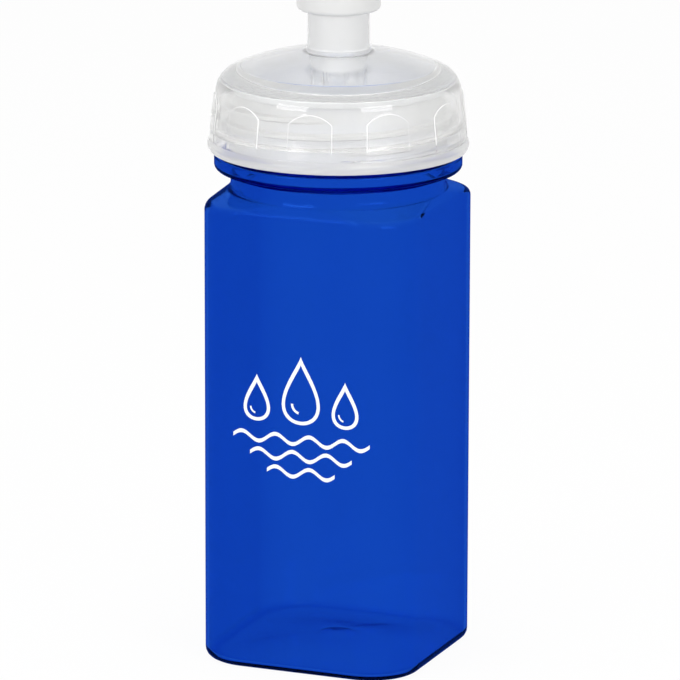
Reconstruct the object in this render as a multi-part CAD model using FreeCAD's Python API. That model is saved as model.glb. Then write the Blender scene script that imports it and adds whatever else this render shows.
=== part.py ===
import FreeCAD, Part
import math
import os

# A square sports bottle: blown plastic body, domed screw lid with a chimney, sealing ring, push-pull spout.
# Millimetres, +Z up, origin at the middle of the face the bottle stands on.

# Body
SIDE = 63.0                 # across the flat walls
CORNER_R = 14.6             # upright corners
WALL = 0.9
BASE_EDGE_R = 2.6           # round between the walls and the base
FLOOR_THICKNESS = 1.4
PUSH_UP = 2.4               # how far the middle of the base stands off the table
STANDING_BAND = 7.0         # from the flat wall in to the push-up
PUSH_UP_SLOPE = 3.0         # width of the sloping border of the push-up
GATE_R = 5.0                # round dimple in the middle of the push-up
GATE_DEPTH = 0.6
WALL_HEIGHT = 127.2         # height of the flat walls
SHOULDER_RISE = 6.2         # square walls to round neck
CREASE_R = 2.1              # round at the top of the walls, measured over a corner
GROOVE_ROUND_R = 2.3        # hollow round at the foot of the neck, measured over a corner

# Neck
NECK_R = 29.7               # outside of the finish, under its thread
NECK_WALL = 1.6
NECK_LENGTH = 17.7          # from the top of the bead to the rim
GROOVE_DEPTH = 0.1          # the groove under the bead is this much smaller than the finish
GROOVE_HEIGHT = 2.3
BEAD_STAND = 4.45           # how far the bead stands out of the finish
BEAD_FLANK_RISE = 1.7       # slope of the bead's underside
BEAD_BAND = 4.2             # upright face of the bead, over its rounded edges
BEAD_EDGE_R = 1.2

# Sealing ring
RING_THICKNESS = 2.0
RING_WIDTH = 4.6
RING_EDGE_GAP = 0.4         # between the ring's outer edge and the skirt

# Lid
LID_WALL = 1.6
THREAD_ROOM = 1.9           # radial room for the two threads at the top of the skirt
SKIRT_DEPTH = 19.15         # from the ring's seat down to the lower edge
SKIRT_DRAFT = 2.65          # how much the skirt widens on its way down
LIP_STAND = 0.2             # roll at the lower edge, past the line of the draft
LIP_HEIGHT = 3.4
FOOT_TAPER = 0.7            # the roll draws in to the lower edge by this much
SEAT_TO_CORNER = 1.75       # from the ring's seat up to the corner of dome and skirt
DOME_R = 78.5               # spherical radius of the dome
DOME_CORNER_R = 6.3
GRIP_COUNT = 10
GRIP_DEPTH = 0.35
GRIP_HALF_WIDTH = 6.3
GRIP_APEX_DROP = 4.6        # from the corner of dome and skirt down to the top of a grip
GRIP_ARCH_RISE = 2.8
GRIP_FIRST_ANGLE = -80.8    # plan angle of the first grip

# Chimney, the cage under it and the stopper pin
BARREL_R = 8.43
BARREL_HEIGHT = 14.4        # above the dome
BARREL_DRAFT = 0.15
BARREL_FILLET = 1.6
BORE_R = 7.0
LIP_BORE_R = 6.5            # the bore narrows to this at its top and keeps the spout in
LIP_BORE_LENGTH = 5.5
CAGE_WALL = 0.75
CAGE_DEPTH = 9.6            # from the dome's inside down to the underside of the cage
CAGE_FLOOR = 1.2
WINDOW_COUNT = 3
WINDOW_ANGLE = 47.0
WINDOW_HEIGHT = 4.4
WINDOW_FIRST_ANGLE = -78.8  # plan angle of the middle of the first window
PIN_R = 2.2
PIN_ROOT_R = 2.8
PIN_TIP_RISE = 1.0

# Spout
SPOUT_TRAVEL = 6.5
HEAD_R = 11.5
HEAD_SKIRT = 3.3            # how far the head reaches down over the chimney
HEAD_RISE = 6.3             # from the chimney's top to the top of the head
HEAD_BAND = 5.4             # height of the wide band
HEAD_TOP_R = 8.9
HEAD_LOW_ROUND = 1.3
HEAD_TOP_ROUND = 1.6
HEAD_PLATE = 3.2            # thickness of the top around the drinking hole
HOLE_FLARE = 1.6            # the drinking hole opens out over this depth and width
STEM_WALL = 1.45
STEM_BEAD_LENGTH = 1.5
SLIDE_CLEARANCE = 0.05
BEAD_CLEARANCE = 0.08
HEAD_CLEARANCE = 0.35
STOP_CLEARANCE = 0.2

# Heights that follow from the sizes above
half_side = SIDE / 2
groove_r = NECK_R - GROOVE_DEPTH
bead_r = NECK_R + BEAD_STAND
groove_z = WALL_HEIGHT + SHOULDER_RISE
bead_foot_z = groove_z + GROOVE_HEIGHT
bead_band_z = bead_foot_z + BEAD_FLANK_RISE
bead_top_z = bead_band_z + BEAD_BAND
rim_z = bead_top_z + NECK_LENGTH
seat_z = rim_z + RING_THICKNESS
lid_low_z = seat_z - SKIRT_DEPTH
corner_z = seat_z + SEAT_TO_CORNER
skirt_inside_top = NECK_R + THREAD_ROOM
skirt_inside_low = skirt_inside_top + SKIRT_DRAFT
ring_outside_r = skirt_inside_top - RING_EDGE_GAP
ring_inside_r = ring_outside_r - RING_WIDTH
corner_r = skirt_inside_top + LID_WALL
lip_r = skirt_inside_low + LID_WALL + LIP_STAND
dome_centre_z = corner_z - math.sqrt(DOME_R ** 2 - corner_r ** 2)
cage_r = BORE_R + CAGE_WALL


def dome_height(radius, inset=0.0):
    """Height of the dome's outside, or of a face inset from it, at a distance from the axis."""
    return dome_centre_z + math.sqrt((DOME_R - inset) ** 2 - radius ** 2)


barrel_foot_r = BARREL_R + BARREL_DRAFT
barrel_foot_z = dome_height(barrel_foot_r)
barrel_top_z = barrel_foot_z + BARREL_HEIGHT
cage_low_z = dome_height(cage_r, LID_WALL) - CAGE_DEPTH
stem_r = LIP_BORE_R - SLIDE_CLEARANCE
stem_bead_r = BORE_R - BEAD_CLEARANCE
hole_r = PIN_R + SLIDE_CLEARANCE
head_top_z = barrel_top_z + HEAD_RISE
pin_top_z = head_top_z - HOLE_FLARE
lip_low_z = barrel_top_z - LIP_BORE_LENGTH
stem_bead_top_z = lip_low_z - SPOUT_TRAVEL - STOP_CLEARANCE


def at(radius, z, angle=0.0):
    """Point at a distance from the axis, a height and a plan angle in degrees."""
    turn = math.radians(angle)
    return FreeCAD.Vector(radius * math.cos(turn), radius * math.sin(turn), z)


def line(start, end):
    return Part.LineSegment(start, end).toShape()


def arc(start, middle, end):
    return Part.Arc(start, middle, end).toShape()


def profile(*steps):
    """Edges through (radius, z) points; a step of four numbers is an arc's middle and end."""
    edges = []
    here = at(*steps[0])
    for step in steps[1:]:
        end = at(*step[-2:])
        edges.append(line(here, end) if len(step) == 2 else arc(here, at(*step[:2]), end))
        here = end
    return edges


def turned(*steps):
    """Solid of revolution about Z of the closed outline through the steps."""
    edges = profile(*steps, steps[0])
    face = Part.Face(Part.Wire(edges))
    return face.revolve(at(0, 0), FreeCAD.Vector(0, 0, 1), 360)


def rings_at(shape, radius, z):
    """Circular edges about the axis with this radius and height."""
    found = []
    for edge in shape.Edges:
        curve = edge.Curve
        if not isinstance(curve, Part.Circle) or abs(curve.Radius - radius) > 0.01:
            continue
        if abs(curve.Center.z - z) < 0.01 and math.hypot(curve.Center.x, curve.Center.y) < 0.01:
            found.append(edge)
    return found


def square_section(half, corner, z):
    """Wire of four sides and four corner arcs; it is a circle where the corners meet."""
    smallest_side = half / 30
    straight = half - corner > smallest_side
    spread = math.degrees(math.asin(smallest_side / half))
    edges = []
    for quarter_turn in range(4):
        facing = 90.0 * quarter_turn
        turn = FreeCAD.Rotation(FreeCAD.Vector(0, 0, 1), facing)
        if straight:
            inner = half - corner
            side_start = turn.multVec(FreeCAD.Vector(half, -inner, z))
            side_end = turn.multVec(FreeCAD.Vector(half, inner, z))
            corner_end = turn.multVec(FreeCAD.Vector(inner, half, z))
            reach = inner + corner * math.sqrt(0.5)
            corner_middle = turn.multVec(FreeCAD.Vector(reach, reach, z))
            edges.append(line(side_start, side_end))
        else:
            side_start = at(half, z, facing - spread)
            side_end = at(half, z, facing + spread)
            corner_end = at(half, z, facing + 90 - spread)
            corner_middle = at(half, z, facing + 45)
            edges.append(arc(side_start, at(half, z, facing), side_end))
        edges.append(arc(side_end, corner_middle, corner_end))
    return Part.Wire(edges)


def square_block(half, corner, low, high):
    """Upright block with a rounded square plan."""
    face = Part.Face(square_section(half, corner, low))
    return face.extrude(FreeCAD.Vector(0, 0, high - low))


def shoulder_steps():
    """(share, height) of the shoulder's sections: share 0 is the square wall and 1 the round groove.

    Over a corner the shoulder runs round the crease, straight, and round the hollow into the neck.
    """
    corner_reach = half_side * math.sqrt(2) - CORNER_R * (math.sqrt(2) - 1)
    run = corner_reach - groove_r
    rounds = CREASE_R + GROOVE_ROUND_R
    span = math.hypot(run - rounds, SHOULDER_RISE)
    turn = math.acos(-rounds / span) - math.atan2(SHOULDER_RISE, run - rounds)
    steps = []
    for share in (0.0, 0.5, 1.0):
        inwards = CREASE_R * (1 - math.cos(turn * share))
        steps.append((inwards / run, WALL_HEIGHT + CREASE_R * math.sin(turn * share)))
    for share in (1.0, 0.5, 0.0):
        outwards = GROOVE_ROUND_R * (1 - math.cos(turn * share))
        steps.append((1 - outwards / run, groove_z - GROOVE_ROUND_R * math.sin(turn * share)))
    return steps


def body_form(inset, low):
    """Outside of the body, or its inside where the wall's thickness is the inset, up to the groove."""
    half = half_side - inset
    corner = CORNER_R - inset
    walls = square_block(half, corner, low, WALL_HEIGHT)
    low_edges = [e for e in walls.Edges if abs(e.BoundBox.ZMax - low) < 1e-6]
    walls = walls.makeFillet(BASE_EDGE_R - inset, low_edges)
    sections = []
    for share, z in shoulder_steps():
        sections.append(square_section(half + (groove_r - inset - half) * share,
                                       corner + (groove_r - inset - corner) * share, z))
    return walls.fuse(Part.makeLoft(sections, True, False))


def push_up_form(rise):
    """Low plateau with sloping borders that hollows the base; the floor follows it at its own thickness."""
    foot = STANDING_BAND - rise
    crown = foot + PUSH_UP_SLOPE
    low = square_section(half_side - foot, CORNER_R, rise)
    high = square_section(half_side - crown, CORNER_R, rise + PUSH_UP)
    return Part.makeLoft([low, high], True, True)


def neck_form(inset, finish_r):
    """Groove, bead and finish above the shoulder, or their inside where the inset is the wall's thickness."""
    foot_r = groove_r - inset
    face_r = bead_r - inset
    foot_z = bead_foot_z + inset
    band_z = bead_band_z + inset
    top_z = bead_top_z - inset
    return turned((0, groove_z), (foot_r, groove_z), (foot_r, foot_z), (face_r, band_z), (face_r, top_z),
                  (finish_r, top_z), (finish_r, rim_z), (0, rim_z))


def build_bottle_body():
    """Blown body: square walls, square-to-round shoulder, beaded neck, hollow base."""
    neck = neck_form(0, NECK_R)
    bead_edges = rings_at(neck, bead_r, bead_band_z) + rings_at(neck, bead_r, bead_top_z)
    neck = neck.makeFillet(BEAD_EDGE_R, bead_edges)
    neck_hollow = neck_form(WALL, NECK_R - NECK_WALL)
    outside = body_form(0, 0).fuse(neck)
    inside = body_form(WALL, FLOOR_THICKNESS).cut(push_up_form(FLOOR_THICKNESS)).fuse(neck_hollow)
    gate = Part.makeCylinder(GATE_R, PUSH_UP + GATE_DEPTH)
    body = outside.cut(inside).cut(push_up_form(0)).cut(gate)
    return body.removeSplitter()


def build_lid_gasket():
    """Flat sealing ring between the rim and the lid."""
    return turned((ring_inside_r, rim_z), (ring_outside_r, rim_z), (ring_outside_r, seat_z),
                  (ring_inside_r, seat_z))


def dome_point(radius, inset=0.0):
    """Radius and height of a point of the dome, or of a face inset from it."""
    return radius, dome_height(radius, inset)


def skirt_radius(z, inset=0.0):
    """Radius of the skirt's drafted outside at a height."""
    return corner_r + SKIRT_DRAFT * (corner_z - z) / (corner_z - lid_low_z) - inset


def grip_recess():
    """Shallow arched hand grip cut into the skirt, pointing along +X."""
    apex_z = corner_z - GRIP_APEX_DROP
    spring_z = apex_z - GRIP_ARCH_RISE
    foot_z = lid_low_z + LIP_HEIGHT
    near = corner_r - LID_WALL
    left_foot = FreeCAD.Vector(near, -GRIP_HALF_WIDTH, foot_z)
    left_spring = FreeCAD.Vector(near, -GRIP_HALF_WIDTH, spring_z)
    right_foot = FreeCAD.Vector(near, GRIP_HALF_WIDTH, foot_z)
    right_spring = FreeCAD.Vector(near, GRIP_HALF_WIDTH, spring_z)
    arch = Part.Wire([line(right_foot, left_foot), line(left_foot, left_spring),
                      arc(left_spring, FreeCAD.Vector(near, 0, apex_z), right_spring),
                      line(right_spring, right_foot)])
    window = Part.Face(arch).extrude(FreeCAD.Vector(lip_r, 0, 0))
    sleeve = turned((skirt_radius(foot_z, GRIP_DEPTH), foot_z), (lip_r * 1.1, foot_z),
                    (lip_r * 1.1, corner_z), (skirt_radius(corner_z, GRIP_DEPTH), corner_z))
    return window.common(sleeve)


def cage_window():
    """Wedge that opens the cage under the chimney, its middle along +X."""
    reach = cage_r * 1.5
    low = cage_low_z + CAGE_FLOOR
    wedge = Part.makeCylinder(reach, WINDOW_HEIGHT, at(0, low), FreeCAD.Vector(0, 0, 1), WINDOW_ANGLE)
    wedge.rotate(at(0, 0), FreeCAD.Vector(0, 0, 1), -WINDOW_ANGLE / 2)
    return wedge.cut(Part.makeCylinder((BORE_R + PIN_ROOT_R) / 2, WINDOW_HEIGHT, at(0, low)))


def build_screw_lid():
    """One moulding: drafted skirt with grips, dome, chimney, and the cage that holds the stopper pin."""
    skirt_low_r = skirt_radius(lid_low_z + LIP_HEIGHT)
    ceiling_mid_r = (cage_r + ring_inside_r) / 2
    dome_mid_r = (barrel_foot_r + corner_r) / 2
    lip_mid_z = lid_low_z + LIP_HEIGHT / 2
    lid = turned(
        (0, cage_low_z), (cage_r, cage_low_z), dome_point(cage_r, LID_WALL),
        (*dome_point(ceiling_mid_r, LID_WALL), *dome_point(ring_inside_r, LID_WALL)),
        (ring_inside_r, seat_z), (skirt_inside_top, seat_z), (skirt_inside_low, lid_low_z),
        (lip_r - FOOT_TAPER, lid_low_z), (lip_r, lip_mid_z, skirt_low_r, lid_low_z + LIP_HEIGHT),
        (corner_r, corner_z), (*dome_point(dome_mid_r), barrel_foot_r, barrel_foot_z),
        (BARREL_R, barrel_top_z), (LIP_BORE_R, barrel_top_z), (LIP_BORE_R, lip_low_z), (BORE_R, lip_low_z),
        (BORE_R, cage_low_z + CAGE_FLOOR), (PIN_ROOT_R, cage_low_z + CAGE_FLOOR),
        (PIN_R, barrel_foot_z), (PIN_R, pin_top_z - PIN_TIP_RISE), (PIN_R / 2, pin_top_z), (0, pin_top_z))
    lid = lid.makeFillet(DOME_CORNER_R, rings_at(lid, corner_r, corner_z))
    lid = lid.makeFillet(BARREL_FILLET, rings_at(lid, barrel_foot_r, barrel_foot_z))
    axis = FreeCAD.Vector(0, 0, 1)
    cuts = []
    for index in range(GRIP_COUNT):
        grip = grip_recess()
        grip.rotate(at(0, 0), axis, GRIP_FIRST_ANGLE + index * 360 / GRIP_COUNT)
        cuts.append(grip)
    for index in range(WINDOW_COUNT):
        window = cage_window()
        window.rotate(at(0, 0), axis, WINDOW_FIRST_ANGLE + index * 360 / WINDOW_COUNT)
        cuts.append(window)
    return lid.cut(cuts)


def build_pull_spout():
    """Drinking head with a stem that slides in the chimney; its bead stops under the chimney's lip."""
    head_low_z = barrel_top_z - HEAD_SKIRT
    band_top_z = head_low_z + HEAD_BAND
    groove_out = BARREL_R + HEAD_CLEARANCE
    stem_in = stem_r - STEM_WALL
    plate_z = head_top_z - HEAD_PLATE
    bead_low_z = stem_bead_top_z - STEM_BEAD_LENGTH
    spout = turned(
        (hole_r, plate_z), (stem_in, plate_z), (stem_in, bead_low_z), (stem_r, bead_low_z),
        (stem_bead_r, stem_bead_top_z - STEM_BEAD_LENGTH / 2), (stem_bead_r, stem_bead_top_z),
        (stem_r, stem_bead_top_z), (stem_r, barrel_top_z), (groove_out, barrel_top_z),
        (groove_out, head_low_z), (HEAD_R, head_low_z), (HEAD_R, band_top_z), (HEAD_TOP_R, head_top_z),
        (hole_r + HOLE_FLARE, head_top_z), (hole_r, head_top_z - HOLE_FLARE))
    spout = spout.makeFillet(HEAD_LOW_ROUND, rings_at(spout, HEAD_R, head_low_z))
    return spout.makeFillet(HEAD_TOP_ROUND, rings_at(spout, HEAD_R, band_top_z)
                            + rings_at(spout, HEAD_TOP_R, head_top_z))


def main():
    """Builds every piece and writes one file for each."""
    os.makedirs("parts", exist_ok=True)
    pieces = {
        "bottle_body": build_bottle_body,
        "lid_gasket": build_lid_gasket,
        "screw_lid": build_screw_lid,
        "pull_spout": build_pull_spout,
    }
    for name, build in pieces.items():
        shape = build()
        shape.exportStep(os.path.join("parts", name + ".step"))
        box = shape.BoundBox
        print(f"{name}: {len(shape.Solids)} solid, valid {shape.isValid()}, {shape.Volume:.0f} mm3, "
              f"z {box.ZMin:.2f} to {box.ZMax:.2f}, across {box.XLength:.2f} by {box.YLength:.2f}")


main()
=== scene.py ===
"""Dresses the square sports bottle: tinted body, clear screw lid, sealing ring, spout and print."""
import logging
import math
from collections.abc import Callable, Iterable, Sequence
from dataclasses import dataclass
from enum import Enum
from typing import NamedTuple

import bmesh
import bpy
from bmesh.types import BMEdge, BMesh, BMFace, BMVert
from bpy.types import ID, Material, MeshPolygon, Node, NodeSocket, NodeTree, Object
from mathutils import Matrix, Quaternion, Vector


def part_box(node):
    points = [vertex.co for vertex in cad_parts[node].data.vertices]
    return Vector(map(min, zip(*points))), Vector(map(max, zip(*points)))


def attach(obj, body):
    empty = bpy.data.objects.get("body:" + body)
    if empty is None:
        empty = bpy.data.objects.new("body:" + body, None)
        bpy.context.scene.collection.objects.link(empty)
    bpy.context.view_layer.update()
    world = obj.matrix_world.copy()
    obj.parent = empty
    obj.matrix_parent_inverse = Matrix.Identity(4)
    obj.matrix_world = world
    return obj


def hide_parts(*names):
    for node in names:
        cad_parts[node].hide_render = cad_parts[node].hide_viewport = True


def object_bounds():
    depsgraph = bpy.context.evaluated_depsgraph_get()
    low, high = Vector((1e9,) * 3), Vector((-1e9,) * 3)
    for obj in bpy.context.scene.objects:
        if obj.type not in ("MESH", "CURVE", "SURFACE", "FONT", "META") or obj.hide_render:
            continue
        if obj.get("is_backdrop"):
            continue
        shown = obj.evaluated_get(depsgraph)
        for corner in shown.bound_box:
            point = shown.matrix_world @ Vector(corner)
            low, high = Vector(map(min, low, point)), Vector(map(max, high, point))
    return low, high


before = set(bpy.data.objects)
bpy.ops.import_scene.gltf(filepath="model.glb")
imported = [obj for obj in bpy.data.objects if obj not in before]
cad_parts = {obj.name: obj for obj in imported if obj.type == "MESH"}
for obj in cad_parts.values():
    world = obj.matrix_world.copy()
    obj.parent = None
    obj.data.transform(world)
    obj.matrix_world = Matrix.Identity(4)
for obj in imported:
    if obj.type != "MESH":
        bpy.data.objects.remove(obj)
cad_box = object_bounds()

LOG = logging.getLogger("bottle")
MM = 0.001
IMAGE_SIDE = 680
UP = Vector((0, 0, 1))
WELD = 0.002 * MM
NEAR = 0.1 * MM
CLOSE = 0.05 * MM
TOUCHING = 0.01 * MM
INNER_SKIN = "inner_skin"
TINT_DEPTH = "tint_depth"


class Body(str, Enum):
    """The bodies that pieces ride on."""

    BOTTLE = "bottle"
    SEAL = "seal"
    LID = "lid"
    SPOUT = "spout"


class Slot(str, Enum):
    """The record's material slots."""

    BLUE = "blue_plastic"
    FROSTED = "frosted_plastic"
    RUBBER = "seal_rubber"
    WHITE = "white_plastic"


class LidPart(Enum):
    """The parts of the lid that differ in finish; the seat and the roll get darker copies of the lid's
    plastic as painted shade, and the grips' edges a whiter one as painted highlight.
    """

    OUTSIDE = "outside"
    UNDERSIDE = "underside"
    CHIMNEY_AND_EDGE_HIGHLIGHT = "chimney and edges of the grips"
    SEAT = "seat"
    ROLL = "roll"


class Section(NamedTuple):
    """A rounded square ring: half its width, its corner radius and its height."""

    half: float
    corner: float
    height: float


class Corner(NamedTuple):
    """A corner of a turned outline: distance from the axis, height and the radius it is rounded to."""

    radius: float
    height: float
    round: float = 0.0


class Drop(NamedTuple):
    """A drop of the print: its middle along the print, its height, and half its width and height."""

    across: float
    height: float
    half_width: float
    half_height: float


class Skin(NamedTuple):
    """What the shared node groups give a material: a shade near 1, a roughness and a normal."""

    shade: NodeSocket
    roughness: NodeSocket
    normal: NodeSocket


class Nodes:
    """A node tree with short calls for adding and joining nodes."""

    def __init__(self, tree: NodeTree) -> None:
        """Keeps the tree."""
        self.tree = tree

    def add(self, kind: str, inputs: dict | None = None, **settings: object) -> Node:
        """Adds a node.

        Args:
            kind: The node's type, without the ShaderNode in front.
            inputs: Values or sockets for its inputs, by name or index.
            settings: Properties to set on the node.

        Returns:
            The new node.
        """
        node = self.tree.nodes.new("ShaderNode" + kind)
        for name, value in settings.items():
            setattr(node, name, value)
        for key, value in (inputs or {}).items():
            if isinstance(value, NodeSocket):
                self.tree.links.new(value, node.inputs[key])
            else:
                node.inputs[key].default_value = value
        return node

    def math(self, operation: str, first: object, second: object = 0.0) -> NodeSocket:
        """Joins two values by a math node and gives its result."""
        return self.add("Math", {0: first, 1: second}, operation=operation).outputs[0]


def new_material(name: str) -> tuple[Material, Nodes]:
    """Makes an empty node material.

    Args:
        name: The material's name.

    Returns:
        The material and its node tree.
    """
    material = bpy.data.materials.new(name)
    material.use_nodes = True
    material.node_tree.nodes.clear()
    return material, Nodes(material.node_tree)


def new_group(name: str, inputs: dict[str, float], outputs: Sequence[str]) -> tuple[Nodes, Node, Node]:
    """Makes a node group with number sockets and a Vector input.

    Args:
        name: The group's name.
        inputs: Number inputs with their defaults.
        outputs: Number outputs.

    Returns:
        The group's tree, its input node and its output node.
    """
    tree = bpy.data.node_groups.new(name, "ShaderNodeTree")
    tree.interface.new_socket("Vector", in_out="INPUT", socket_type="NodeSocketVector")
    for key, value in inputs.items():
        socket = tree.interface.new_socket(key, in_out="INPUT", socket_type="NodeSocketFloat")
        socket.default_value = value
    for key in outputs:
        tree.interface.new_socket(key, in_out="OUTPUT", socket_type="NodeSocketFloat")
    return Nodes(tree), tree.nodes.new("NodeGroupInput"), tree.nodes.new("NodeGroupOutput")


class Effects:
    """Node groups that several finishes share."""

    def __init__(self) -> None:
        """Builds each group once."""
        self.flow = self.build_flow()
        self.handling = self.build_handling()

    def build_flow(self) -> NodeTree:
        """Builds the slow variation that flowing plastic leaves.

        Returns:
            A group that gives a shade near 1 and a ripple height.
        """
        nodes, given, result = new_group("moulding_flow", {"Scale": 40.0, "Amount": 0.05},
                                         ("Shade", "Ripple"))
        noise = nodes.add("TexNoise", {"Vector": given.outputs["Vector"], "Scale": given.outputs["Scale"],
                                       "Detail": 3.0, "Roughness": 0.45, "Distortion": 0.4})
        centred = nodes.math("SUBTRACT", noise.outputs["Fac"], 0.5)
        shade = nodes.math("MULTIPLY", centred, given.outputs["Amount"])
        nodes.tree.links.new(nodes.math("ADD", shade, 1.0), result.inputs["Shade"])
        nodes.tree.links.new(noise.outputs["Fac"], result.inputs["Ripple"])
        return nodes.tree

    def build_handling(self) -> NodeTree:
        """Builds the faint marks of handling.

        Returns:
            A group that gives a roughness that rises in thin rubs and blotches.
        """
        nodes, given, result = new_group("handling_marks", {"Scale": 60.0, "Low": 0.2, "High": 0.3},
                                         ("Roughness",))
        stretched = nodes.add("VectorMath", {0: given.outputs["Vector"], 1: (1.0, 1.0, 0.25)},
                              operation="MULTIPLY")
        noise = nodes.add("TexNoise", {"Vector": stretched.outputs[0], "Scale": given.outputs["Scale"],
                                       "Detail": 6.0, "Roughness": 0.65})
        spread = nodes.add("MapRange", {"Value": noise.outputs["Fac"], "From Min": 0.35, "From Max": 0.75,
                                        "To Min": given.outputs["Low"], "To Max": given.outputs["High"]})
        nodes.tree.links.new(spread.outputs[0], result.inputs["Roughness"])
        return nodes.tree

    def lay_on(self, nodes: Nodes, finish: "Plastic | TintedClear") -> Skin:
        """Places the groups in a material.

        Args:
            nodes: The material's nodes.
            finish: The finish whose values the groups get.

        Returns:
            What the groups put out.
        """
        place = nodes.add("TexCoord").outputs["Object"]
        flow = nodes.add("Group", {
            "Vector": place, "Scale": finish.flow_scale, "Amount": finish.shade_amount},
            node_tree=self.flow).outputs
        marks = nodes.add("Group", {
            "Vector": place, "Low": finish.low_roughness, "High": finish.high_roughness},
            node_tree=self.handling).outputs
        bump = nodes.add("Bump", {"Strength": finish.ripple, "Distance": 1 * MM, "Height": flow["Ripple"]})
        return Skin(flow["Shade"], marks["Roughness"], bump.outputs["Normal"])


@dataclass(frozen=True)
class Plastic:
    """A moulded plastic: its colour, how much light goes through it, and its surface."""

    name: str
    colour: tuple[float, float, float]
    low_roughness: float
    high_roughness: float
    transmission: float = 0.0
    lamp_share: float = 0.0
    ior: float = 1.5
    shade_amount: float = 0.02
    flow_scale: float = 40.0
    ripple: float = 0.005
    subsurface: float = 0.0
    subsurface_depth: float = 1.5 * MM

    def material(self, effects: Effects) -> Material:
        """Builds the material.

        Args:
            effects: The shared node groups.

        Returns:
            The new material.
        """
        material, nodes = new_material(self.name)
        skin = effects.lay_on(nodes, self)
        tint = nodes.add("VectorMath", {0: self.colour, "Scale": skin.shade}, operation="SCALE")
        surface = nodes.add("BsdfPrincipled", {
            "Base Color": tint.outputs[0], "Roughness": skin.roughness, "Normal": skin.normal,
            "Metallic": 0.0, "IOR": self.ior, "Transmission Weight": self.transmission,
            "Subsurface Weight": self.subsurface, "Subsurface Scale": self.subsurface_depth,
            "Subsurface Radius": (1.0, 1.0, 1.0)}).outputs[0]
        if self.lamp_share > 0:
            from_lamp = nodes.add("LightPath").outputs["Is Shadow Ray"]
            through = nodes.add("BsdfTransparent", {"Color": (self.lamp_share,) * 3 + (1.0,)})
            surface = nodes.add("MixShader", {0: from_lamp, 1: surface, 2: through.outputs[0]}).outputs[0]
        nodes.add("OutputMaterial", {"Surface": surface})
        return material


@dataclass(frozen=True)
class TintedClear:
    """A clear plastic that tints light at its faces and in its thickness, and mirrors in its own colour."""

    name: str
    passed: tuple[float, float, float]
    absorbed: tuple[float, float, float]
    density: float
    mirrored: tuple[float, float, float]
    mirrored_within: tuple[float, float, float]
    ior: float = 1.45
    low_roughness: float = 0.0
    high_roughness: float = 0.03
    shade_amount: float = 0.03
    flow_scale: float = 30.0
    ripple: float = 0.01

    def material(self, effects: Effects) -> Material:
        """Builds the material.

        Args:
            effects: The shared node groups.

        Returns:
            The new material.
        """
        material, nodes = new_material(self.name)
        skin = effects.lay_on(nodes, self)
        look = {"Roughness": skin.roughness, "Normal": skin.normal}
        tint = nodes.add("VectorMath", {0: self.passed, "Scale": skin.shade}, operation="SCALE")
        depth = nodes.add("Attribute", attribute_name=TINT_DEPTH).outputs["Fac"]
        deepened = nodes.add("Gamma", {"Color": tint.outputs[0], "Gamma": depth})
        bent = nodes.add("BsdfRefraction", {"Color": deepened.outputs[0], "IOR": self.ior, **look})
        on_inner_skin = nodes.add("Attribute", attribute_name=INNER_SKIN).outputs["Fac"]
        outer = nodes.add("Mix", {"Factor": on_inner_skin, 6: (*self.mirrored, 1.0), 7: (1, 1, 1, 1)},
                          data_type="RGBA")
        from_within = nodes.add("NewGeometry").outputs["Backfacing"]
        mirrored = nodes.add("Mix", {"Factor": from_within, 6: outer.outputs[2],
                                     7: (*self.mirrored_within, 1.0)}, data_type="RGBA")
        mirror = nodes.add("BsdfGlossy", {"Color": mirrored.outputs[2], **look})
        share = nodes.add("Fresnel", {"IOR": self.ior, "Normal": skin.normal})
        glass = nodes.add("MixShader", {0: share.outputs[0], 1: bent.outputs[0], 2: mirror.outputs[0]})
        inside = nodes.add("VolumeAbsorption", {"Color": (*self.absorbed, 1.0), "Density": self.density})
        nodes.add("OutputMaterial", {"Surface": glass.outputs[0], "Volume": inside.outputs[0]})
        return material


def add_object(name: str, data: ID) -> Object:
    """Makes an object and links it to the scene.

    Args:
        name: The object's name.
        data: Its mesh, light or camera.

    Returns:
        The new object.
    """
    made = bpy.data.objects.new(name, data)
    bpy.context.scene.collection.objects.link(made)
    return made


def mesh_object(bm: BMesh, name: str, smooth_angle: float = 40.0) -> Object:
    """Turns a finished bmesh into an object at the origin, smooth but for its sharp edges.

    Args:
        bm: The shape; it is freed.
        name: The piece's name.
        smooth_angle: Edges that turn by more than this many degrees stay sharp.

    Returns:
        The new object.
    """
    mesh = bpy.data.meshes.new(name)
    bm.to_mesh(mesh)
    bm.free()
    mesh.shade_smooth()
    mesh.set_sharp_from_angle(angle=math.radians(smooth_angle))
    return add_object(name, mesh)


def keep_flats_flat(piece: Object) -> None:
    """Weighs the shading by face area, so that rounds don't bend the look of the flat walls beside them."""
    weighted = piece.modifiers.new("flat_walls", "WEIGHTED_NORMAL")
    weighted.keep_sharp = True


def hand_over(piece: Object, body: Body, slot: Slot, plastics: Iterable[Material]) -> None:
    """Finishes a piece and reports it.

    Args:
        piece: The piece.
        body: The body it rides on.
        slot: Its slot in the record; not used.
        plastics: Its materials in order.
    """
    for plastic in plastics:
        piece.data.materials.append(plastic)
    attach(piece, body.value)
    LOG.info("%s rides on %s with %d faces", piece.name, body.value, len(piece.data.polygons))


def face_outwards(bm: BMesh) -> None:
    """Points every face of a closed shape away from its material.

    Args:
        bm: The shape.
    """
    bmesh.ops.recalc_face_normals(bm, faces=bm.faces)
    if bm.calc_volume(signed=True) < 0:
        bmesh.ops.reverse_faces(bm, faces=bm.faces)


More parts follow.
